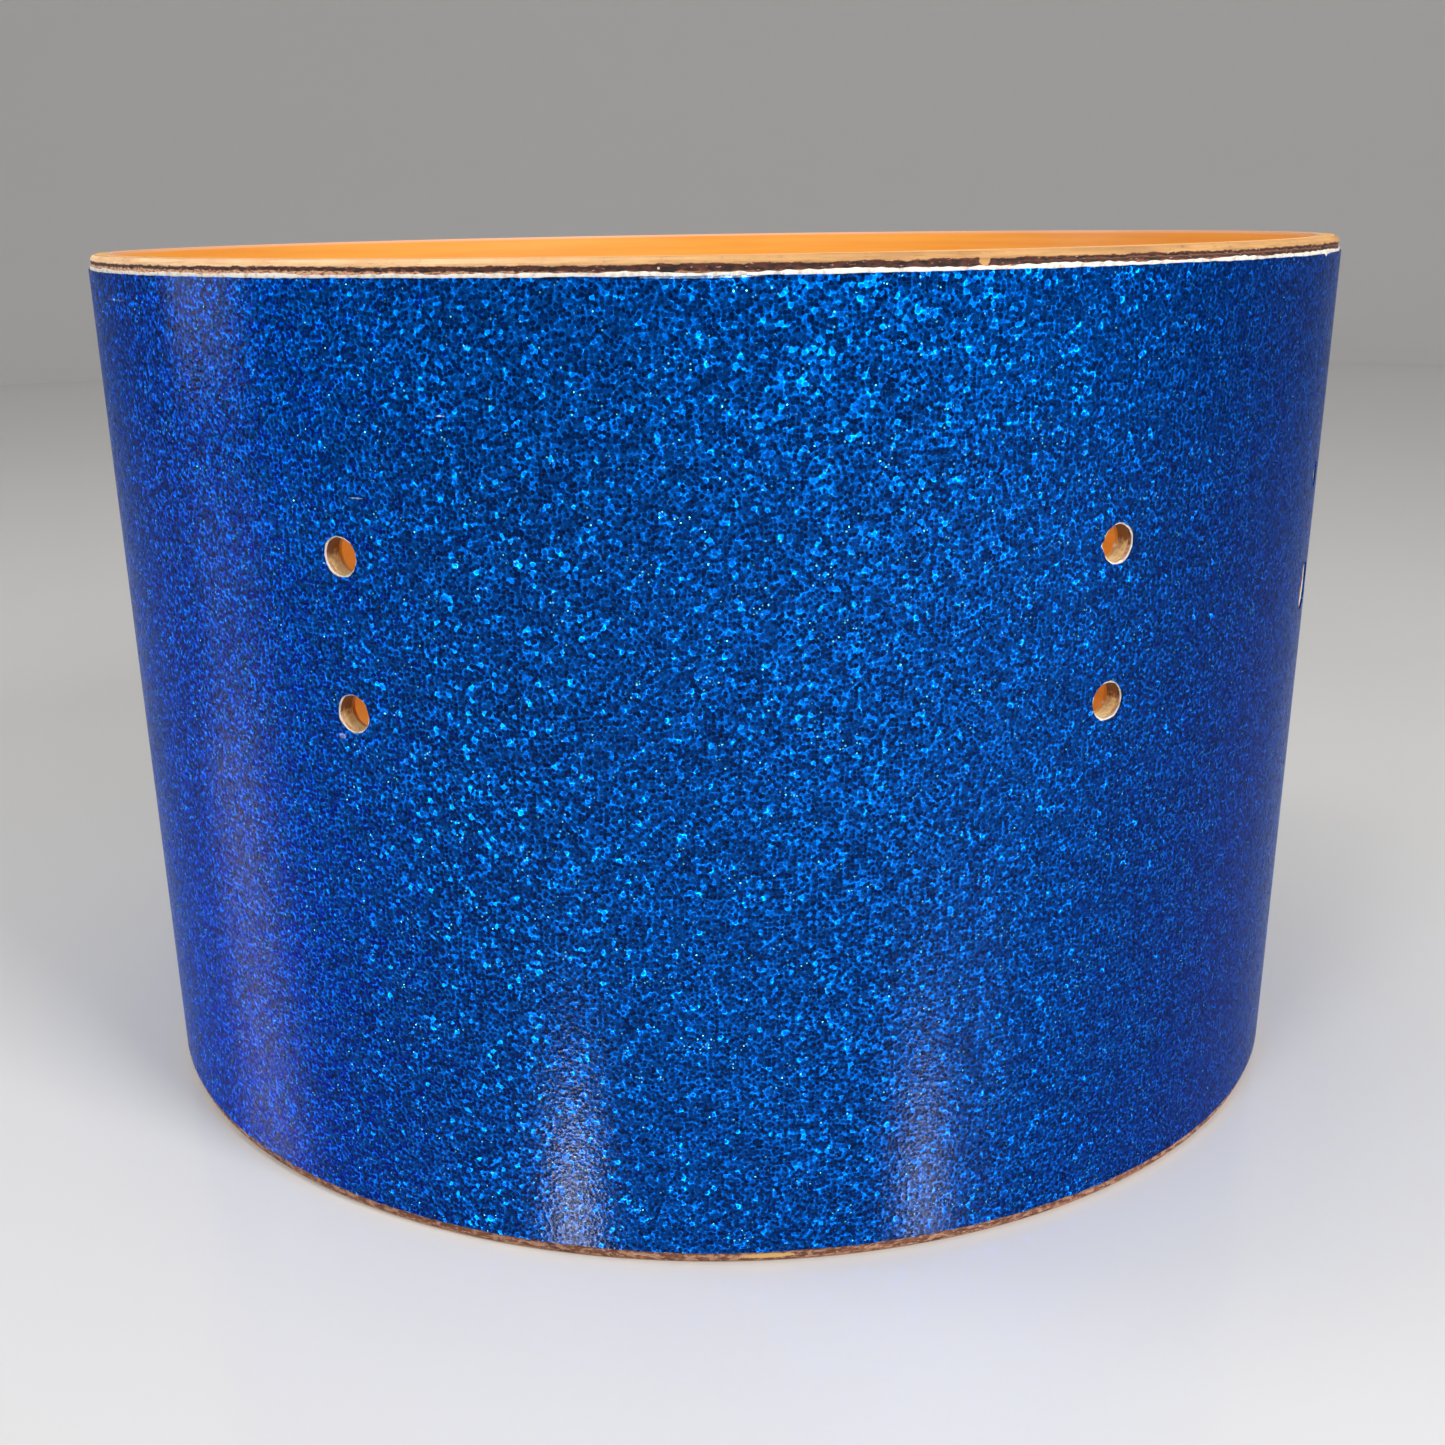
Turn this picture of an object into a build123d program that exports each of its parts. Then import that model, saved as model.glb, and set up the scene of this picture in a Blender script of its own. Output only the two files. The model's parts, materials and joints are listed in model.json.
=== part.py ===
from build123d import *
from math import degrees
import os

# A bare drum shell: three wooden plies bent into a cylinder, covered by a laminated glitter wrap,
# with a bearing edge at each end and holes drilled for six lugs and one bracket.
#
# The origin is the centre of the lower bearing edge, which the shell stands on, and +Z is the
# shell's axis. Azimuths are in degrees: 0 is the front, -Y, and they grow towards +X.
# Every size is in millimetres.

# ---- Driving dimensions ----
shell_height = 203.2
diameter_over_wrap = 302.4

clear_coat_thickness = 0.20
glitter_film_thickness = 0.20
backing_thickness = 0.25
outer_ply_thickness = 1.00
core_ply_thickness = 2.80
inner_ply_thickness = 0.95

outer_edge_radius = 1.3     # round-over outside each bearing edge
inner_edge_radius = 0.9     # the softer one inside it
backing_setback = 2.5       # wood left bare beside the backing, from each end of the shell
film_setback = 3.6          # the film and its clear coat stop short of the backing
seam_gap = 0.3              # butt joint between the two ends of each bent sheet

lug_count = 6
first_lug_azimuth = 30
lug_hole_diameter = 7.94
lug_hole_spacing = 31.6     # upper hole to lower hole of one lug
lug_centre_height = 132.8

bracket_azimuth = 65
bracket_bore_diameter = 11.0
bracket_bore_height = 125.5
bracket_screw_diameter = 5.5
bracket_screw_height = 151.5

drill_clearance = 3         # how far each hole's cut starts outside the wall and runs on past it

# The seams are staggered, and all of them miss the holes.
wrap_seam_azimuth = 180
outer_ply_seam_azimuth = 120
core_ply_seam_azimuth = 240
inner_ply_seam_azimuth = 300

# ---- Radii worked out from them, from the outside in ----
clear_coat_radius = diameter_over_wrap / 2
glitter_film_radius = clear_coat_radius - clear_coat_thickness
backing_radius = glitter_film_radius - glitter_film_thickness
outer_ply_radius = backing_radius - backing_thickness
core_ply_radius = outer_ply_radius - outer_ply_thickness
inner_ply_radius = core_ply_radius - core_ply_thickness
bore_radius = inner_ply_radius - inner_ply_thickness

drill_start_radius = clear_coat_radius + drill_clearance
drill_depth = drill_start_radius - bore_radius + drill_clearance


def outward(azimuth):
    """Unit vector that points straight out of the shell at an azimuth."""
    return Vector(0, -1, 0).rotate(Axis.Z, azimuth)


def section_plane(azimuth):
    """Plane through the axis, whose X is the radius at an azimuth and whose Y is the height."""
    return Plane(origin=(0, 0, 0), x_dir=outward(azimuth), z_dir=outward(azimuth - 90))


def drilling_plane(azimuth, height):
    """Plane just outside the shell whose normal is the hole's axis."""
    start = outward(azimuth) * drill_start_radius + Vector(0, 0, height)
    return Plane(origin=start, x_dir=(0, 0, 1), z_dir=outward(azimuth))


def bent_sheet(outside_radius, thickness, setback, seam_azimuth):
    """Bend a sheet once round the axis inside the active part, leaving its seam open.

    A sheet that reaches the ends of the shell takes the shape of the bearing edges.
    """
    gap_angle = degrees(seam_gap / outside_radius)
    with BuildSketch(section_plane(seam_azimuth + gap_angle / 2)) as sheet_section:
        with Locations((outside_radius - thickness, setback)):
            Rectangle(thickness, shell_height - 2 * setback, align=(Align.MIN, Align.MIN))
        if setback == 0:
            add(wall_section.sketch_local, mode=Mode.INTERSECT)
    revolve(sheet_section.sketch, axis=Axis.Z, revolution_arc=360 - gap_angle)


def drilled_holes():
    """Drill the lug and bracket holes straight through the active part."""
    with Locations(*lug_hole_planes):
        Hole(radius=lug_hole_diameter / 2, depth=drill_depth)
    with Locations(drilling_plane(bracket_azimuth, bracket_bore_height)):
        Hole(radius=bracket_bore_diameter / 2, depth=drill_depth)
    with Locations(drilling_plane(bracket_azimuth, bracket_screw_height)):
        Hole(radius=bracket_screw_diameter / 2, depth=drill_depth)


lug_azimuths = [first_lug_azimuth + turn * 360 / lug_count for turn in range(lug_count)]
lug_hole_heights = [lug_centre_height + side * lug_hole_spacing / 2 for side in (-1, 1)]
lug_hole_planes = [drilling_plane(azimuth, height) for azimuth in lug_azimuths for height in lug_hole_heights]

# Section of the wooden wall, with the two bearing edges rounded on both sides.
with BuildSketch() as wall_section:
    with Locations((bore_radius, 0)):
        Rectangle(outer_ply_radius - bore_radius, shell_height, align=(Align.MIN, Align.MIN))
    fillet(wall_section.vertices().group_by(Axis.X)[-1], outer_edge_radius)
    fillet(wall_section.vertices().group_by(Axis.X)[0], inner_edge_radius)

# ---- The wood, from the inside out ----
with BuildPart() as inner_ply:
    bent_sheet(inner_ply_radius, inner_ply_thickness, 0, inner_ply_seam_azimuth)
    drilled_holes()

with BuildPart() as core_ply:
    bent_sheet(core_ply_radius, core_ply_thickness, 0, core_ply_seam_azimuth)
    drilled_holes()

with BuildPart() as outer_ply:
    bent_sheet(outer_ply_radius, outer_ply_thickness, 0, outer_ply_seam_azimuth)
    drilled_holes()

# ---- The wrap: an opaque backing, the glitter film and the clear coat over it ----
with BuildPart() as wrap_backing:
    bent_sheet(backing_radius, backing_thickness, backing_setback, wrap_seam_azimuth)
    drilled_holes()

with BuildPart() as wrap_glitter_film:
    bent_sheet(glitter_film_radius, glitter_film_thickness, film_setback, wrap_seam_azimuth)
    drilled_holes()

with BuildPart() as wrap_clear_coat:
    bent_sheet(clear_coat_radius, clear_coat_thickness, film_setback, wrap_seam_azimuth)
    drilled_holes()

# ---- Labels and files ----
os.makedirs("parts", exist_ok=True)

inner_ply.part.label = "inner_ply"
export_step(inner_ply.part, "parts/inner_ply.step")

core_ply.part.label = "core_ply"
export_step(core_ply.part, "parts/core_ply.step")

outer_ply.part.label = "outer_ply"
export_step(outer_ply.part, "parts/outer_ply.step")

wrap_backing.part.label = "wrap_backing"
export_step(wrap_backing.part, "parts/wrap_backing.step")

wrap_glitter_film.part.label = "wrap_glitter_film"
export_step(wrap_glitter_film.part, "parts/wrap_glitter_film.step")

wrap_clear_coat.part.label = "wrap_clear_coat"
export_step(wrap_clear_coat.part, "parts/wrap_clear_coat.step")
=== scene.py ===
import bpy
import json
import math
from mathutils import Matrix, Vector, noise
from mathutils.geometry import delaunay_2d_cdt


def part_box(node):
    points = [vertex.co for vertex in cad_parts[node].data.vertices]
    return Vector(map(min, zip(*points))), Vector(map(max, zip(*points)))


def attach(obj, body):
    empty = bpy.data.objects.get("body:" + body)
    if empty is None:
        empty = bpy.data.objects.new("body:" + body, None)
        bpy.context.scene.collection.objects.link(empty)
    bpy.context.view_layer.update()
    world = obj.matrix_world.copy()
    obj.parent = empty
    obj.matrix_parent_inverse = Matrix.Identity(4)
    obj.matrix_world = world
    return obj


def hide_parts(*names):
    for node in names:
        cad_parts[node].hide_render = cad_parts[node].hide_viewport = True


# A bare drum shell standing on its lower bearing edge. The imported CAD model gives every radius,
# height and hole. The pieces made here are the same sheets with hand-cut edges, drilled holes,
# wood grain and glitter. Lengths are in metres. Azimuths are in radians unless a comment says
# degrees: 0 is the front, -Y, and they grow towards +X.

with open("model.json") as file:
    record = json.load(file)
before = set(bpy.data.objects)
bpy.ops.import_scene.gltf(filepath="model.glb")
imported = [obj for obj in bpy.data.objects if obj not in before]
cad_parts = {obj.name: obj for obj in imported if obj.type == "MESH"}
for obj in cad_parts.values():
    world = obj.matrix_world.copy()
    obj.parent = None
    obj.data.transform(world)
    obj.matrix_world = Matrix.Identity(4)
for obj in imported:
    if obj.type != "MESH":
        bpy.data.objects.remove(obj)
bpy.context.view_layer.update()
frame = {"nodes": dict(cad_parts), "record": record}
MM = 0.001


# ---- Sizes read from the frame ----
def radii(node):
    """(inside radius, outside radius) of a bent sheet."""
    reach = [math.hypot(v.co.x, v.co.y) for v in frame["nodes"][node].data.vertices]
    return min(reach), max(reach)


def heights(node):
    """(lowest, highest) point of a sheet."""
    low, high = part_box(node)
    return low.z, high.z


bore_radius, inner_ply_radius = radii("inner_ply")
core_ply_radius = radii("core_ply")[1]
wood_radius = radii("outer_ply")[1]
backing_radius = radii("wrap_backing")[1]
wrap_radius = radii("wrap_clear_coat")[1]
shell_top = heights("core_ply")[1]
backing_low, backing_high = heights("wrap_backing")
film_low, film_high = heights("wrap_clear_coat")

EDGE_ROUND_OUTSIDE = 1.3 * MM   # radius of the round-over outside each bearing edge
EDGE_ROUND_INSIDE = 0.9 * MM    # radius of the smaller one inside it
SEAM_GAP = 0.3 * MM
SEAMS = {"inner_ply": 300, "core_ply": 240, "outer_ply": 120, "wrap": 180}      # azimuths, in degrees

# Bands of the outside veneer, as distances from the nearer end of the shell.
SANDED_AT_TOP = 1.30 * MM       # sanded pale up to here
SANDED_AT_BOTTOM = 0.40 * MM
TORN_AT_RIGHT = 2.45 * MM       # torn and dark up to here, above the wrap
TORN_AT_LEFT = 1.95 * MM
SPLIT_AT = 1.95 * MM            # the middle of a paler line in the torn band, at the right
RELIEF_FROM = 1.35 * MM         # where the torn surface starts to stand back
RELIEF_WIDTH = 1.30 * MM

# How finely the sheets are divided round the shell.
FINE_COLUMNS = 1400             # about 0.7 mm apart, for ragged ends and torn veneer
PLAIN_COLUMNS = 720


def drilled_holes():
    """(azimuth, height, radius) of every hole, from the record's mounts."""
    holes = []
    for mount in frame["record"]["mounts"]:
        x, y, z = mount["pos_m"]
        azimuth = math.atan2(x, -y)
        if mount["kind"] == "bolt_pattern":
            half = mount["dims"]["pcd_mm"] / 2 * MM
            radius = mount["dims"]["hole_r_mm"] * MM
            holes += [(azimuth, z - half, radius), (azimuth, z + half, radius)]
        if mount["kind"] == "bore":
            holes.append((azimuth, z, mount["dims"]["r_mm"] * MM))
    return holes


HOLES = drilled_holes()


# ---- Small helpers ----
def wobble(azimuth, pitch, seed, height=0.0):
    """Smooth noise from -1 to 1 that closes round the shell; pitch is its length in metres."""
    turns = wrap_radius / pitch
    apart = 17.3                # how far along the noise each seed is from the next
    place = (math.sin(azimuth) * turns, math.cos(azimuth) * turns, height / pitch + seed * apart)
    return noise.noise(Vector(place))


def point(azimuth, radius, height):
    """The place at an azimuth, a distance from the axis and a height."""
    return Vector((math.sin(azimuth) * radius, -math.cos(azimuth) * radius, height))


def edge_drop(radius):
    """How far the wood lies below the crest of a bearing edge at a radius."""
    past = radius - (wood_radius - EDGE_ROUND_OUTSIDE)
    before = bore_radius + EDGE_ROUND_INSIDE - radius
    if past > 0:
        return EDGE_ROUND_OUTSIDE - math.sqrt(max(0.0, EDGE_ROUND_OUTSIDE**2 - past**2))
    if before > 0:
        return EDGE_ROUND_INSIDE - math.sqrt(max(0.0, EDGE_ROUND_INSIDE**2 - before**2))
    return 0.0


# ---- Bent sheets with holes ----
class Sheet:
    """A sheet bent round the axis: an outside face, an inside face and the cut edges that join them.

    Its outline is laid flat first, as arc length by height, and triangulated round its holes.
    """

    HOLE_POINTS = 56            # points round each hole
    RING_POINTS = 36            # points on a ring just outside it, which keeps its triangles small
    RING_REACH = 1.22           # that ring's radius, and the radius kept clear of other points,
    CLEAR_REACH = 1.5           # as shares of the hole's own radius
    END_MARGIN = 0.1 * MM       # no filling point lies nearer an end than this

    def __init__(self, name, inside, outside, seam, low, high, columns, rows):
        self.name, self.inside, self.outside = name, inside, outside
        self.start = math.radians(seam) + SEAM_GAP / 2 / outside
        self.turn = 2 * math.pi - SEAM_GAP / outside
        self.low, self.high = low, high      # functions of azimuth
        self.columns, self.rows = columns, rows
        self.edge_rows = []                  # more rows, as distances from each end
        self.face_shift = lambda azimuth, z, side: 0.0
        self.chain = lambda kind, t: 0.0     # how far a point down a cut edge is above its end
        self.chain_steps = {"low": 1, "high": 1, "hole": 1, "seam": 1}
        self.hole_radius = lambda radius, angle, number: radius

    def flat(self, azimuth):
        """Arc position of an azimuth, from the seam's start."""
        return ((azimuth - self.start) % (2 * math.pi)) * self.outside

    def azimuth(self, arc):
        """Azimuth of an arc position."""
        return self.start + arc / self.outside

    def outline(self):
        """The flat sheet's edge points, its closed loops and each point's edge, then the grid to fill it."""
        points, loops, kinds = [], [], []

        def loop(new, new_kinds):
            first = len(points)
            points.extend(new)
            kinds.extend(new_kinds)
            loops.append(list(range(first, first + len(new))))

        length = self.turn * self.outside
        arcs = [length * i / self.columns for i in range(self.columns + 1)]
        side_z = self.row_heights()
        bottom = [(a, self.low(self.azimuth(a))) for a in arcs]
        right = [(length, z) for z in side_z]
        top = [(a, self.high(self.azimuth(a))) for a in reversed(arcs)]
        left = [(0.0, z) for z in reversed(side_z)]
        names = ["low"] * len(bottom) + ["seam"] * len(right) + ["high"] * len(top) + ["seam"] * len(left)
        loop(bottom + right + top + left, names)

        for number, (azimuth, height, radius) in enumerate(HOLES):
            middle, ring = self.flat(azimuth), []
            for i in range(self.HOLE_POINTS):
                angle = 2 * math.pi * i / self.HOLE_POINTS
                reach = self.hole_radius(radius, angle, number)
                ring.append((middle + reach * math.cos(angle), height + reach * math.sin(angle)))
            loop(ring, [f"hole{number}"] * self.HOLE_POINTS)
        return points, loops, kinds, arcs, side_z

    def row_heights(self):
        """Heights of the rows of points between the two ends."""
        low, high = self.low(self.start), self.high(self.start)
        near = [low + d for d in self.edge_rows] + [high - d for d in self.edge_rows]
        margin = max([0.0] + self.edge_rows)
        first, last = low + margin, high - margin
        far = [first + (last - first) * i / self.rows for i in range(1, self.rows)]
        return sorted(near + far)

    def clear_of_holes(self, arc, height):
        for azimuth, centre, radius in HOLES:
            if math.hypot(arc - self.flat(azimuth), height - centre) < radius * self.CLEAR_REACH:
                return False
        return True

    def filling(self, arcs, side_z):
        """Points inside the sheet, which keep clear of the holes, and a finer ring round each."""
        inside = []
        for arc in arcs[1:-1]:
            lowest = self.low(self.azimuth(arc)) + self.END_MARGIN
            highest = self.high(self.azimuth(arc)) - self.END_MARGIN
            for z in side_z:
                if lowest < z < highest and self.clear_of_holes(arc, z):
                    inside.append((arc, z))
        for azimuth, height, radius in HOLES:
            middle, reach = self.flat(azimuth), radius * self.RING_REACH
            for i in range(self.RING_POINTS):
                angle = 2 * math.pi * (i + 0.5) / self.RING_POINTS
                inside.append((middle + reach * math.cos(angle), height + reach * math.sin(angle)))
        return inside

    @staticmethod
    def within_hole(corners):
        """True for a triangle that spans a hole: all its corners are on one hole's edge."""
        return corners[0].startswith("hole") and corners.count(corners[0]) == len(corners)

    @staticmethod
    def edge_uv(kind, arc, z, depth):
        """Where a point down a cut edge lies on the flat sheet: a hole's wall runs on sideways."""
        if kind.startswith("hole"):
            return arc + depth, z
        return arc, z - depth

    def triangulated(self):
        """The flat sheet's points, its triangles, and what each point's edge is."""
        points, loops, kinds, arcs, side_z = self.outline()
        edges = [(loop[i], loop[(i + 1) % len(loop)]) for loop in loops for i in range(len(loop))]
        scale = 1 / MM                       # millimetres suit the tolerance
        flat = [Vector((a * scale, z * scale)) for a, z in points + self.filling(arcs, side_z)]
        output_type, tolerance = 2, 1e-4
        verts, _, faces, origin, _, _ = delaunay_2d_cdt(flat, edges, [], output_type, tolerance)
        kind_of = []
        for source in origin:
            own = [kinds[i] for i in source if i < len(kinds)]
            kind_of.append(own[0] if own else "face")
        faces = [face for face in faces if not self.within_hole([kind_of[v] for v in face])]
        return [(v.x * MM, v.y * MM) for v in verts], faces, kind_of

    @staticmethod
    def border(faces):
        """The edges that only one face uses, in that face's direction."""
        used = {}
        for face in faces:
            used.update(((face[i], face[(i + 1) % len(face)]), True) for i in range(len(face)))
        return [(start, end) for start, end in used if (end, start) not in used]

    def build(self):
        flat_points, faces, kind_of = self.triangulated()
        count = len(flat_points)
        places, uvs = [], []
        for side, radius in (("outside", self.outside), ("inside", self.inside)):
            for arc, z in flat_points:
                azimuth = self.azimuth(arc)
                places.append(point(azimuth, radius + self.face_shift(azimuth, z, side), z))
                uvs.append((arc, z))
        polygons = [tuple(face) for face in faces]
        polygons += [tuple(count + v for v in reversed(face)) for face in faces]

        chains = {}

        def chain_of(v, kind):
            """The vertices down a cut edge, from the outside face to the inside face."""
            if (v, kind) in chains:
                return chains[(v, kind)]
            steps = self.chain_steps["hole" if kind.startswith("hole") else kind]
            arc, z = flat_points[v]
            made = [v]
            for step in range(1, steps):
                t = step / steps
                radius = self.outside + (self.inside - self.outside) * t
                height = z + self.chain(kind, t)
                places.append(point(self.azimuth(arc), radius, height))
                uvs.append(self.edge_uv(kind, arc, height, self.outside - radius))
                made.append(len(places) - 1)
            made.append(count + v)
            chains[(v, kind)] = made
            return made

        for v0, v1 in self.border(faces):
            kinds = (kind_of[v0], kind_of[v1])
            kind = "seam" if "seam" in kinds else kinds[0]
            first, second = chain_of(v0, kind), chain_of(v1, kind)
            for i in range(len(first) - 1):
                polygons.append((first[i + 1], second[i + 1], second[i], first[i]))
        return self.as_object(places, polygons, uvs)

    def as_object(self, places, polygons, uvs):
        mesh = bpy.data.meshes.new(self.name)
        mesh.from_pydata(places, [], polygons)
        layer = mesh.uv_layers.new(name="unrolled")
        for number, loop in enumerate(mesh.loops):
            layer.data[number].uv = uvs[loop.vertex_index]
        mesh.polygons.foreach_set("use_smooth", [True] * len(mesh.polygons))
        mesh.set_sharp_from_angle(angle=math.radians(40))
        mesh.validate()
        mesh.update()
        piece = bpy.data.objects.new(self.name, mesh)
        bpy.context.scene.collection.objects.link(piece)
        return piece


# ---- The camera ----
def make_camera():
    """The front from just above the rim, tilted down, from about one and a half diameters away."""
    data = bpy.data.cameras.new("camera")
    camera = bpy.data.objects.new("camera", data)
    bpy.context.scene.collection.objects.link(camera)
    data.sensor_width = 36
    data.lens = 42.75
    data.shift_x = 0.0219
    data.shift_y = 0.0815
    distance, height = 3.059 * wrap_radius, 1.3907 * wrap_radius
    side = math.radians(-1.317)
    turn, tilt, roll = math.radians(-0.941), math.radians(20.112), math.radians(-0.92)
    ahead = Vector((math.sin(turn) * math.cos(tilt), math.cos(turn) * math.cos(tilt), -math.sin(tilt)))
    right = Vector((math.cos(turn), -math.sin(turn), 0))
    up = right.cross(ahead)
    right_rolled = right * math.cos(roll) + up * math.sin(roll)
    up_rolled = up * math.cos(roll) - right * math.sin(roll)
    basis = Matrix((right_rolled, up_rolled, -ahead)).transposed().to_4x4()
    about_axis = Matrix.Rotation(side, 4, "Z")
    camera.matrix_world = about_axis @ Matrix.Translation((0, -distance, height)) @ basis
    bpy.context.scene.camera = camera


make_camera()


# ---- Materials ----
class Nodes:
    """A material's node tree, with short ways to add and join nodes."""

    def __init__(self, name):
        self.material = bpy.data.materials.new(name)
        self.material.use_nodes = True
        self.tree = self.material.node_tree
        self.shader = self.tree.nodes["Principled BSDF"]

    def add(self, kind, **settings):
        node = self.tree.nodes.new(kind)
        for key, value in settings.items():
            setattr(node, key, value)
        return node

    def put(self, socket, value):
        if isinstance(value, bpy.types.NodeSocket):
            self.tree.links.new(value, socket)
        else:
            socket.default_value = value

    def math(self, operation, a, b=0.0, c=0.0):
        node = self.add("ShaderNodeMath", operation=operation)
        for socket, value in zip(node.inputs, (a, b, c)):
            self.put(socket, value)
        return node.outputs[0]

    def mix(self, factor, a, b):
        """Colour a where the factor is 0, colour b where it is 1."""
        node = self.add("ShaderNodeMix", data_type="RGBA")
        self.put(node.inputs["Factor"], factor)
        for socket, value in ((node.inputs["A"], a), (node.inputs["B"], b)):
            self.put(socket, value if isinstance(value, bpy.types.NodeSocket) else (*value, 1.0))
        return node.outputs["Result"]

    def ramp(self, value, low, high, to_low=0.0, to_high=1.0):
        """A smooth step: to_low where the value is low, to_high where it is high."""
        node = self.add("ShaderNodeMapRange", interpolation_type="SMOOTHSTEP", clamp=True)
        for socket, v in zip(node.inputs, (value, low, high, to_low, to_high)):
            self.put(socket, v)
        return node.outputs["Result"]

    def noise(self, vector, scale, detail=3.0, roughness=0.5):
        node = self.add("ShaderNodeTexNoise")
        self.put(node.inputs["Vector"], vector)
        node.inputs["Scale"].default_value = scale
        node.inputs["Detail"].default_value = detail
        node.inputs["Roughness"].default_value = roughness
        return node.outputs["Fac"]

    def scaled(self, vector, scale):
        node = self.add("ShaderNodeMapping")
        self.put(node.inputs["Vector"], vector)
        node.inputs["Scale"].default_value = scale
        return node.outputs["Vector"]

    def unrolled(self):
        """The sheet laid flat, in metres."""
        return self.add("ShaderNodeUVMap", uv_map="unrolled").outputs["UV"]

    def place(self):
        return self.add("ShaderNodeTexCoord").outputs["Object"]

    def axis(self, letter):
        """One coordinate of the place: X grows to the right of the front, Z upwards."""
        split = self.add("ShaderNodeSeparateXYZ")
        self.put(split.inputs[0], self.place())
        return split.outputs[letter]

    def depth(self):
        """Distance from the nearer end of the shell."""
        height = self.axis("Z")
        return self.math("MINIMUM", height, self.math("SUBTRACT", shell_top, height))

    def bump(self, height, distance, strength=1.0):
        node = self.add("ShaderNodeBump")
        node.inputs["Distance"].default_value = distance
        node.inputs["Strength"].default_value = strength
        self.put(node.inputs["Height"], height)
        return node.outputs["Normal"]

    def moved(self, vector, share):
        """The same vector shifted, so that a second pattern doesn't line up with the first."""
        node = self.add("ShaderNodeVectorMath", operation="ADD")
        self.put(node.inputs[0], vector)
        node.inputs[1].default_value = (share, share * 0.6, 0)
        return node.outputs[0]

    def cells(self, vector, pitch):
        """A random value, the distance from the middle and a random colour for each cell."""
        node = self.add("ShaderNodeTexVoronoi", voronoi_dimensions="2D", feature="F1")
        self.put(node.inputs["Vector"], vector)
        node.inputs["Scale"].default_value = 1 / pitch
        split = self.add("ShaderNodeSeparateColor")
        self.put(split.inputs[0], node.outputs["Color"])
        return split.outputs[0], node.outputs["Distance"], node.outputs["Color"]

    def cell_edges(self, vector, pitch):
        node = self.add("ShaderNodeTexVoronoi", voronoi_dimensions="2D", feature="DISTANCE_TO_EDGE")
        self.put(node.inputs["Vector"], vector)
        node.inputs["Scale"].default_value = 1 / pitch
        return node.outputs["Distance"]

    def spread(self, random, reach):
        """A random colour turned into an offset from -reach/2 to reach/2 along each axis."""
        centred = self.add("ShaderNodeVectorMath", operation="SUBTRACT")
        self.put(centred.inputs[0], random)
        centred.inputs[1].default_value = (0.5, 0.5, 0.5)
        scaled = self.add("ShaderNodeVectorMath", operation="SCALE")
        self.put(scaled.inputs[0], centred.outputs[0])
        self.put(scaled.inputs["Scale"], reach)
        return scaled.outputs[0]

    def leaning(self, offset):
        """The surface normal leaned by an offset."""
        total = self.add("ShaderNodeVectorMath", operation="ADD")
        self.put(total.inputs[0], self.add("ShaderNodeNewGeometry").outputs["Normal"])
        self.put(total.inputs[1], offset)
        unit = self.add("ShaderNodeVectorMath", operation="NORMALIZE")
        self.put(unit.inputs[0], total.outputs[0])
        return unit.outputs[0]

    def mix_value(self, factor, a, b):
        node = self.add("ShaderNodeMix", data_type="FLOAT")
        for socket, value in zip((node.inputs[0], node.inputs[2], node.inputs[3]), (factor, a, b)):
            self.put(socket, value)
        return node.outputs[0]

    def grained(self, light, dark):
        """Wood colour with its grain round the shell, and the grain itself for a bump."""
        flat = self.unrolled()
        grain = self.noise(self.scaled(flat, (60, 1400, 1)), 1.0, 5.0, 0.6)
        pores = self.noise(self.scaled(flat, (400, 5000, 1)), 1.0, 2.0)
        colour = self.mix(self.ramp(grain, 0.30, 0.70), light, dark)
        colour = self.mix(self.ramp(pores, 0.60, 0.75, 0.0, 0.6), colour, tuple(c * 0.4 for c in dark))
        return colour, grain

    def mark(self, azimuth, height, half_width, half_height):
        """1 on a small ragged patch at an azimuth in degrees and a height, 0 elsewhere."""
        turned = self.math("ARCTAN2", self.axis("X"), self.math("MULTIPLY", self.axis("Y"), -1.0))
        turned = self.math("SUBTRACT", turned, math.radians(azimuth))
        across = self.math("MULTIPLY", turned, wrap_radius / half_width)
        along = self.math("MULTIPLY", self.math("SUBTRACT", self.axis("Z"), height), 1 / half_height)
        reach = self.math("ADD", self.math("MULTIPLY", across, across), self.math("MULTIPLY", along, along))
        ragged = self.math("SUBTRACT", self.noise(self.unrolled(), 2600, 2.0), 0.5)
        reach = self.math("MULTIPLY_ADD", ragged, 1.6, reach)
        return self.ramp(reach, 0.7, 1.2, 1.0, 0.0)

    def painted_bore_shade(self, colour, pale, brown):
        """Painted light and shade on drilled walls: a hole's lower wall is painted pale as if lit, its upper
        wall dark as if in shadow, with a ragged line between.
        """
        flat = self.unrolled()
        split = self.add("ShaderNodeSeparateXYZ")
        self.put(split.inputs[0], self.add("ShaderNodeNewGeometry").outputs["Normal"])
        ragged = self.noise(self.scaled(flat, (700, 700, 1)), 1.0, 3.0)
        facing = self.math("MULTIPLY_ADD", self.math("SUBTRACT", ragged, 0.5), 1.2, split.outputs["Z"])
        drilled = self.math("GREATER_THAN", self.depth(), 5 * MM)
        rough = self.noise(self.scaled(flat, (1500, 1500, 1)), 1.0, 3.0, 0.6)
        pale = self.mix(self.ramp(rough, 0.42, 0.62, 0.0, 0.7), pale, tuple(c * c * 0.75 for c in pale))
        wall = self.mix(self.ramp(facing, -0.10, 0.30), brown, pale)
        return self.mix(self.math("MULTIPLY", drilled, 0.9), colour, wall)

    def set(self, **values):
        """Set the shader's inputs, by their names with _ for each space."""
        for key, value in values.items():
            name = key.replace("_", " ")
            if isinstance(value, tuple) and len(value) == 3:
                value = (*value, 1.0)
            self.put(self.shader.inputs[name], value)


FLAKE_PITCH = 0.82 * MM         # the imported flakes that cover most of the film
LOOSE_PITCH = 1.30 * MM         # dark flakes that lie over them
GLINT_PITCH = 0.55 * MM         # small chips in a bright cyan that is a painted glint; they also lean to catch the light
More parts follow.
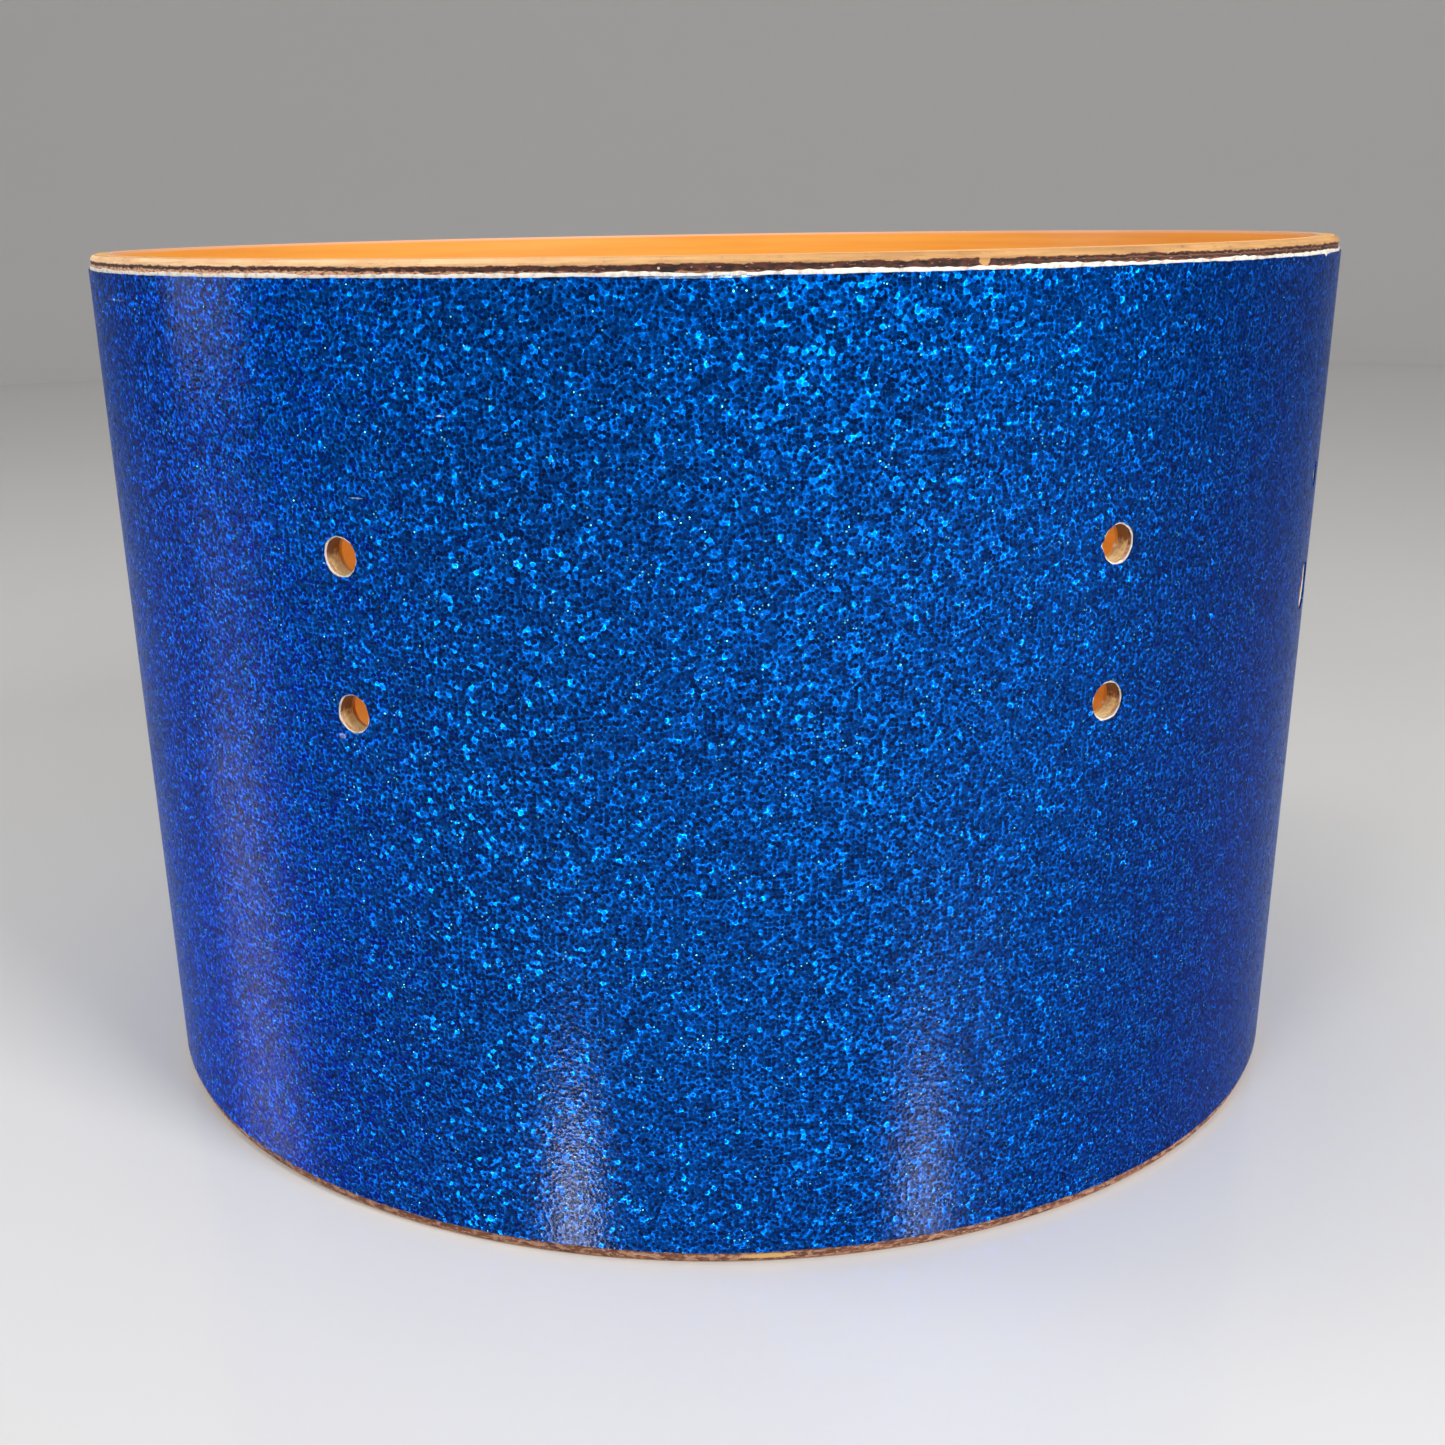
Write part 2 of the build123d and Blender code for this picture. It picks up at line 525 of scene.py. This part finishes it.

# Scratches, a lilac stain and a dulled stretch of the wrap's top edge: azimuth in degrees, then
# height, half width and half height in millimetres, how strongly it shows, and its colour.
WRAP_MARKS = [
    (-58.0, 194.6, 7.0, 0.18, 0.45, (0.20, 0.30, 0.62)),
    (-28.0, 160.2, 1.6, 0.16, 0.55, (0.25, 0.42, 0.75)),
    (-31.2, 112.1, 0.9, 0.60, 0.32, (0.42, 0.42, 0.72)),
    (-20.5, 176.0, 0.9, 0.14, 0.50, (0.30, 0.50, 0.80)),
    (-2.1, 199.70, 10.5, 0.22, 0.65, (0.30, 0.42, 0.62)),
]


def glitter_material():
    """Round foil flakes, each tilted its own way, set in blue under a clear glossy coat."""
    n = Nodes("blue_glitter")
    flat = n.unrolled()
    shade, packed, tilt = n.cells(flat, FLAKE_PITCH)
    seam = n.cell_edges(flat, FLAKE_PITCH)
    loose_shade, loose, _ = n.cells(n.moved(flat, 0.37), LOOSE_PITCH)
    glint_shade, glint, glint_tilt = n.cells(n.moved(flat, 0.71), GLINT_PITCH)
    patches = n.noise(flat, 1 / (5 * MM), 2.0)
    fine = n.noise(flat, 1 / (0.6 * MM), 2.0)

    flake_size = n.ramp(patches, 0.30, 0.70, 0.66, 0.50)
    cover = n.ramp(n.math("SUBTRACT", packed, flake_size), -0.08, 0.04, 1.0, 0.0)
    web = n.mix(n.ramp(fine, 0.35, 0.65), (0.0, 0.076, 0.41), (0.0, 0.156, 0.72))
    flake = n.mix(n.ramp(shade, 0.10, 0.90), (0.0, 0.014, 0.085), (0.0, 0.042, 0.215))
    colour = n.mix(cover, web, flake)
    colour = n.mix(n.ramp(seam, 0.02, 0.08, 0.40, 0.0), colour, (0.0, 0.082, 0.400))
    shown = n.ramp(loose_shade, 0.40, 0.55, 0.0, 0.75)
    over = n.math("MULTIPLY", n.ramp(loose, 0.34, 0.42, 1.0, 0.0), shown)
    colour = n.mix(over, colour, (0.0, 0.011, 0.070))
    clusters = n.ramp(n.noise(n.moved(flat, 0.13), 1 / (7 * MM), 2.0), 0.38, 0.68, 0.990, 0.93)
    lit = n.ramp(n.math("SUBTRACT", glint_shade, clusters), 0.0, 0.06)
    chip = n.math("MULTIPLY", n.ramp(glint, 0.12, 0.46, 1.0, 0.0), lit)
    # Painted glints: scattered chips take a bright cyan colour; their own tilt, set below, also catches real
    # light.
    colour = n.mix(chip, colour, (0.12, 0.66, 1.0))
    for azimuth, height, half_width, half_height, faint, tone in WRAP_MARKS:
        spot = n.mark(azimuth, height * MM, half_width * MM, half_height * MM)
        colour = n.mix(n.math("MULTIPLY", spot, faint), colour, tone)
    n.set(Base_Color=colour, Metallic=0.75, Roughness=0.24, Specular_IOR_Level=0.0)
    n.set(Specular_Tint=(0.0, 0.18, 0.60))
    lean = n.math("MULTIPLY_ADD", loose_shade, 0.50, 0.45)
    n.set(Normal=n.leaning(n.mix(chip, n.spread(tilt, lean), n.spread(glint_tilt, 1.0))))
    peel = n.math("ADD", n.noise(flat, 1 / (1.1 * MM), 2.0), n.math("MULTIPLY", packed, 0.4))
    n.set(Coat_Weight=0.22, Coat_Roughness=0.10, Coat_IOR=1.3)
    n.set(Coat_Normal=n.bump(peel, 0.05 * MM))
    return n.material


def backing_material():
    """Cream-white plastic with grime and brown stains."""
    n = Nodes("wrap_backing")
    grime = n.noise(n.place(), 900, 4.0)
    stains = n.noise(n.place(), 420, 3.0)
    colour = n.mix(n.ramp(grime, 0.45, 0.75), (0.93, 0.88, 0.76), (0.62, 0.50, 0.38))
    colour = n.mix(n.ramp(stains, 0.58, 0.72, 0.0, 0.55), colour, (0.42, 0.28, 0.19))
    n.set(Base_Color=colour, Roughness=0.55)
    n.set(Normal=n.bump(grime, 0.08 * MM))
    return n.material


def core_wood():
    """Bare poplar, tan at the crest; each hole's wall is painted pale below as if lit and dark above as if
    in shadow.
    """
    n = Nodes("poplar_core")
    colour, grain = n.grained((0.90, 0.49, 0.15), (0.66, 0.34, 0.11))
    # Painted light and shade on the hole walls: pale below as if lit, dark above as if in shadow.
    colour = n.painted_bore_shade(colour, (1.0, 0.79, 0.43), (0.21, 0.075, 0.020))
    n.set(Base_Color=colour, Roughness=0.75)
    n.set(Normal=n.bump(grain, 0.1 * MM))
    return n.material


# A dark patch and chips in the top edge, and a worn patch of the lower one: azimuth in degrees,
# then height, half width and half height in millimetres, and the colour that shows.
EDGE_MARKS = [
    (-4.2, 200.9, 1.7, 0.55, (0.014, 0.006, 0.004)),
    (-4.8, 201.2, 0.25, 0.22, (0.60, 0.50, 0.42)),
    (17.4, 201.7, 1.1, 1.25, (0.56, 0.30, 0.11)),
    (58.6, 200.2, 1.7, 2.00, (0.010, 0.004, 0.003)),
    (2.4, 1.7, 6.0, 0.55, (0.62, 0.37, 0.13)),
]


def outer_ply_wood():
    """Reddish veneer, sanded pale over each bearing edge, with a torn dark band beside the wrap."""
    n = Nodes("mahogany_ply")
    flat = n.unrolled()
    ragged = n.noise(n.scaled(flat, (420, 900, 1)), 1.0, 4.0, 0.6)
    waves = n.noise(n.scaled(flat, (70, 70, 1)), 1.0, 2.0)
    specks = n.noise(n.scaled(flat, (900, 2600, 1)), 1.0, 3.0)
    top = n.math("GREATER_THAN", n.axis("Z"), shell_top / 2)
    depth = n.math("ADD", n.depth(), n.math("MULTIPLY", n.math("SUBTRACT", ragged, 0.5), 1.1 * MM))
    depth = n.math("ADD", depth, n.math("MULTIPLY", n.math("SUBTRACT", waves, 0.5), 0.7 * MM))

    left = n.ramp(n.axis("X"), -0.10, 0.02, 1.0, 0.0)
    veneer, _ = n.grained((0.26, 0.095, 0.045), (0.10, 0.028, 0.014))
    veneer = n.mix(n.ramp(specks, 0.58, 0.68, 0.0, 0.8), veneer, (0.72, 0.42, 0.31))
    veneer = n.mix(n.ramp(specks, 0.44, 0.34, 0.0, 0.8), veneer, (0.05, 0.015, 0.010))
    bottom = n.math("SUBTRACT", 1.0, top)
    worn = n.math("MULTIPLY", n.ramp(ragged, 0.46, 0.60, 0.0, 0.6), bottom)
    veneer = n.mix(worn, veneer, (0.62, 0.35, 0.21))
    # Painted highlight: paler veneer at the top of the left side.
    lit_left_veneer = n.mix(n.ramp(specks, 0.50, 0.42), (0.82, 0.48, 0.28), (0.34, 0.10, 0.05))
    veneer = n.mix(n.math("MULTIPLY", n.math("MULTIPLY", left, top), 0.75), veneer, lit_left_veneer)
    sanded, _ = n.grained((0.66, 0.36, 0.13), (0.42, 0.21, 0.075))
    # Painted highlight: a cream crest at the left side.
    cream, _ = n.grained((1.0, 0.68, 0.38), (0.76, 0.42, 0.20))
    sanded = n.mix(left, sanded, cream)

    torn = n.mix(n.ramp(ragged, 0.40, 0.60), (0.016, 0.005, 0.004), (0.085, 0.022, 0.012))
    torn = n.mix(n.ramp(specks, 0.62, 0.70, 0.0, 0.7), torn, (0.55, 0.30, 0.24))
    from_split = n.math("ABSOLUTE", n.math("SUBTRACT", depth, SPLIT_AT))
    split_line = n.ramp(from_split, 0.05 * MM, 0.16 * MM, 0.7, 0.0)
    split_line = n.math("MULTIPLY", split_line, n.ramp(n.axis("X"), 0.04, 0.09))
    torn = n.mix(split_line, torn, (0.26, 0.11, 0.05))
    torn_end = n.mix_value(left, TORN_AT_RIGHT, TORN_AT_LEFT)
    torn_band = n.math("MULTIPLY", n.ramp(depth, SANDED_AT_TOP, SANDED_AT_TOP + 0.20 * MM),
                       n.ramp(n.math("SUBTRACT", depth, torn_end), 0.0, 0.25 * MM, 1.0, 0.0))
    colour = n.mix(n.math("MULTIPLY", torn_band, top), veneer, torn)
    crest_end = n.mix_value(top, SANDED_AT_BOTTOM, SANDED_AT_TOP)
    crest = n.ramp(n.math("SUBTRACT", depth, crest_end), -0.12 * MM, 0.10 * MM, 1.0, 0.0)
    colour = n.mix(crest, colour, sanded)
    for azimuth, height, half_width, half_height, tone in EDGE_MARKS:
        colour = n.mix(n.mark(azimuth, height * MM, half_width * MM, half_height * MM), colour, tone)
    # Painted light and shade on the hole walls: pale below as if lit, dark above as if in shadow.
    colour = n.painted_bore_shade(colour, (0.85, 0.54, 0.33), (0.16, 0.060, 0.025))
    n.set(Base_Color=colour, Roughness=0.8)
    n.set(Normal=n.bump(ragged, 0.25 * MM, 0.8))
    return n.material


def lacquered_maple():
    """Honey lacquer over figured maple, paler at the ends; painted shade darkens it far from the ends, most
    at the left.
    """
    n = Nodes("lacquered_maple")
    flat = n.unrolled()
    depth = n.depth()
    grain = n.noise(n.scaled(flat, (14, 420, 1)), 1.0, 6.0, 0.55)
    broad = n.noise(n.scaled(flat, (9, 60, 1)), 1.0, 3.0)
    colour = n.mix(n.ramp(grain, 0.30, 0.72), (0.98, 0.43, 0.055), (0.92, 0.34, 0.035))
    colour = n.mix(n.ramp(broad, 0.35, 0.70, 0.0, 0.35), colour, (0.98, 0.52, 0.12))
    # Painted shade: the lacquer darkens far from the ends of the shell, most on the left side.
    side_shade = n.ramp(n.axis("X"), -0.07, 0.07, 0.70, 0.22)
    deep_shade = n.math("MULTIPLY", n.ramp(depth, 30 * MM, 85 * MM), side_shade)
    colour = n.mix(deep_shade, colour, (0.45, 0.13, 0.014))
    colour = n.mix(n.ramp(depth, 0.5 * MM, 0.8 * MM, 1.0, 0.0), colour, (0.95, 0.55, 0.33))
    n.set(Base_Color=colour, Roughness=0.42)
    n.set(Normal=n.bump(grain, 0.03 * MM))
    n.set(Coat_Weight=0.6, Coat_Roughness=0.12)
    return n.material


# ---- The pieces ----
def finish_piece(piece, material, slot, *nodes):
    """Give a piece its material, hang it on the root body and hide the CAD solids that it replaces."""
    piece.data.materials.append(material)
    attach(piece, "root")
    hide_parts(*nodes)


def chipped(angle, number, base, reach):
    """How far a hole's edge stands back at an angle: a steady part and an uneven one."""
    def uneven(lumps, apart):
        return noise.noise(Vector((math.cos(angle) * lumps, math.sin(angle) * lumps, number * apart)))

    return base + reach * (uneven(1.7, 3.1) + 0.7 * uneven(5, 7.7))


def nick(angle, number):
    """A pointed nick in the wrap at the left of the upper hole on the right of the front."""
    azimuth, height, _ = HOLES[number]
    if abs(azimuth - math.radians(30)) > 0.1 or height < 0.7 * shell_top:
        return 0.0
    deepest, half_angle = 0.65 * MM, 0.25
    return deepest * max(0.0, 1 - abs(angle - math.pi) / half_angle)


def film_chip(azimuth):
    """A chip out of the film's top edge near the right end of the front view."""
    turned = (math.degrees(azimuth) + 180) % 360 - 180
    deepest, middle, half_width = 1.0 * MM, 58.8, 0.9       # the last two in degrees
    return deepest * max(0.0, 1 - abs(turned - middle) / half_width)


def ragged_end(level, reach, seed):
    """The height of a sheet's end as a function of azimuth, with coarse and fine unevenness."""
    coarse, fine = 9 * MM, 1.6 * MM
    return lambda azimuth: level + reach * (wobble(azimuth, coarse, seed) + wobble(azimuth, fine, seed + 1))


def make_wrap():
    """The glitter film under its clear coat, and the cream backing behind them."""
    upper_edge = ragged_end(film_high + 0.3 * MM, 0.14 * MM, 3)
    facing = Sheet("wrap_facing", backing_radius, wrap_radius, SEAMS["wrap"],
                   ragged_end(film_low - 0.6 * MM, 0.14 * MM, 1),
                   lambda azimuth: upper_edge(azimuth) - film_chip(azimuth),
                   columns=FINE_COLUMNS, rows=10)
    facing.hole_radius = lambda radius, angle, number: (
        radius + chipped(angle, number, 0.10 * MM, 0.20 * MM) + nick(angle, number))
    finish_piece(facing.build(), glitter_material(), "blue_glitter", "wrap_glitter_film", "wrap_clear_coat")

    backing = Sheet("wrap_backing_sheet", wood_radius, backing_radius, SEAMS["wrap"],
                    ragged_end(film_low - 0.42 * MM, 0.20 * MM, 6),
                    ragged_end(backing_high - 0.12 * MM, 0.26 * MM, 9),
                    columns=FINE_COLUMNS, rows=4)
    backing.hole_radius = lambda radius, angle, number: (
        radius + chipped(angle, number + 20, -0.20 * MM, 0.16 * MM) + 0.5 * nick(angle, number))
    finish_piece(backing.build(), backing_material(), "wrap_backing", "wrap_backing")


def torn_veneer(azimuth, height, side):
    """The outside veneer stands back unevenly, where it is torn, just above and below the wrap."""
    across = (min(height, shell_top - height) - RELIEF_FROM) / RELIEF_WIDTH
    if side == "inside" or not 0 < across < 1:
        return 0.0
    reach = 0.32 * MM if height > shell_top / 2 else 0.14 * MM
    rough = 0.5 + 0.7 * wobble(azimuth, 2.2 * MM, 50, height) + 0.5 * wobble(azimuth, 0.9 * MM, 51, height)
    return -reach * math.sqrt(math.sin(math.pi * across)) * max(0.0, rough)


def make_ply(name, node, inside, outside, material, slot, torn, seed, relief=None):
    """One ply, whose ends take the shape of the bearing edges and whose holes' edges are uneven.

    torn is how uneven they are, and relief shifts the ply's faces in or out.
    """
    drop = edge_drop(outside)
    sheet = Sheet(name, inside, outside, SEAMS[node],
                  lambda azimuth: drop, lambda azimuth: shell_top - drop,
                  columns=FINE_COLUMNS if relief else PLAIN_COLUMNS, rows=6)
    if relief:
        row = 0.22 * MM
        sheet.face_shift = relief
        sheet.edge_rows = [row * i for i in range(1, 8)]
    sheet.chain_steps = {"low": 6, "high": 6, "hole": 4, "seam": 1}
    sheet.hole_radius = lambda radius, angle, number: (
        radius + chipped(angle, number + seed, 0.02 * MM, torn))

    def chain(kind, t):
        change = edge_drop(outside + (inside - outside) * t) - drop
        return {"low": change, "high": -change}.get(kind, 0.0)

    sheet.chain = chain
    finish_piece(sheet.build(), material, slot, node)


make_wrap()
make_ply("outer_ply_sheet", "outer_ply", core_ply_radius, wood_radius, outer_ply_wood(), "mahogany_ply",
         torn=0.12 * MM, seed=40, relief=torn_veneer)
make_ply("core_ply_sheet", "core_ply", inner_ply_radius, core_ply_radius, core_wood(), "poplar_core",
         torn=0.06 * MM, seed=60)
make_ply("inner_ply_sheet", "inner_ply", bore_radius, inner_ply_radius, lacquered_maple(),
         "lacquered_maple", torn=0.04 * MM, seed=80)


# ---- The studio ----
def area_light(name, azimuth, elevation, distance, size, power):
    """A rectangular lamp that faces the shell; angles in degrees, the power in watts."""
    data = bpy.data.lights.new(name, "AREA")
    data.shape = "RECTANGLE"
    data.size, data.size_y = size
    data.energy = power
    light = bpy.data.objects.new(name, data)
    up = math.radians(elevation)
    target = Vector((0, 0, 0.11))        # a little above the shell's middle
    light.location = target + point(math.radians(azimuth), distance * math.cos(up), distance * math.sin(up))
    light.rotation_mode = "QUATERNION"
    light.rotation_quaternion = (target - light.location).to_track_quat("-Z", "Y")
    light.visible_camera = False
    bpy.context.scene.collection.objects.link(light)
    return light


def backdrop_profile():
    """Radius and height of a round floor that curves up into a wall."""
    flat, bend, top, steps = 2.2, 1.2, 3.4, 16
    turns = [math.radians(90 * i / steps) for i in range(steps + 1)]
    curve = [(flat + bend * math.sin(turn), bend * (1 - math.cos(turn))) for turn in turns]
    return [(0.0, 0.0)] + curve + [(flat + bend, top)]


def spun(name, profile, turns):
    """A surface of revolution about the shell's axis, whose middle is one flat face."""
    places = [point(2 * math.pi * i / turns, radius, z) for radius, z in profile[1:] for i in range(turns)]
    faces = []
    for ring in range(len(profile) - 2):
        for i in range(turns):
            near, far, after = ring * turns, (ring + 1) * turns, (i + 1) % turns
            faces.append((near + i, far + i, far + after, near + after))
    faces.append(tuple(range(turns)))
    mesh = bpy.data.meshes.new(name)
    mesh.from_pydata(places, [], faces)
    mesh.polygons.foreach_set("use_smooth", [True] * (len(faces) - 1) + [False])
    body = bpy.data.objects.new(name, mesh)
    bpy.context.scene.collection.objects.link(body)
    return body


def shine_from_table(light, wrap_only):
    """Make a lamp shine on the wrap alone, through the floor, as its image in a glossy table does."""
    light.light_linking.receiver_collection = wrap_only
    light.light_linking.blocker_collection = wrap_only


def make_studio():
    """A pale round floor and soft lamps, of which three are the images of lamps in a glossy table."""
    floor = spun("floor", backdrop_profile(), 96)
    n = Nodes("floor")
    n.set(Base_Color=(0.74, 0.73, 0.71), Roughness=0.14)
    floor.data.materials.append(n.material)

    world = bpy.data.worlds.new("studio")
    bpy.context.scene.world = world
    world.use_nodes = True
    background = world.node_tree.nodes["Background"]
    background.inputs["Color"].default_value = (0.62, 0.62, 0.64, 1)
    background.inputs["Strength"].default_value = 0.5

    area_light("overhead", -60, 78, 1.9, (1.2, 1.2), 11)
    area_light("softbox", 42, 28, 1.7, (0.6, 0.75), 23)
    area_light("lamp", -31, 29, 1.7, (0.4, 0.4), 6.5)
    area_light("window", -95, 15, 1.5, (0.5, 0.9), 6)
    wrap_only = bpy.data.collections.new("wrap_only")
    wrap_only.objects.link(bpy.data.objects["wrap_facing"])
    shine_from_table(area_light("softbox_in_table", 37, -32, 1.7, (0.18, 0.20), 6), wrap_only)
    shine_from_table(area_light("lamp_in_table", -29, -33, 1.7, (0.17, 0.18), 9), wrap_only)
    window_in_table = area_light("window_in_table", -101, -28, 1.7, (0.45, 0.8), 30)
    window_in_table.data.color = (1.0, 0.88, 0.66)
    shine_from_table(window_in_table, wrap_only)
    bpy.context.scene.view_settings.view_transform = "Standard"


make_studio()
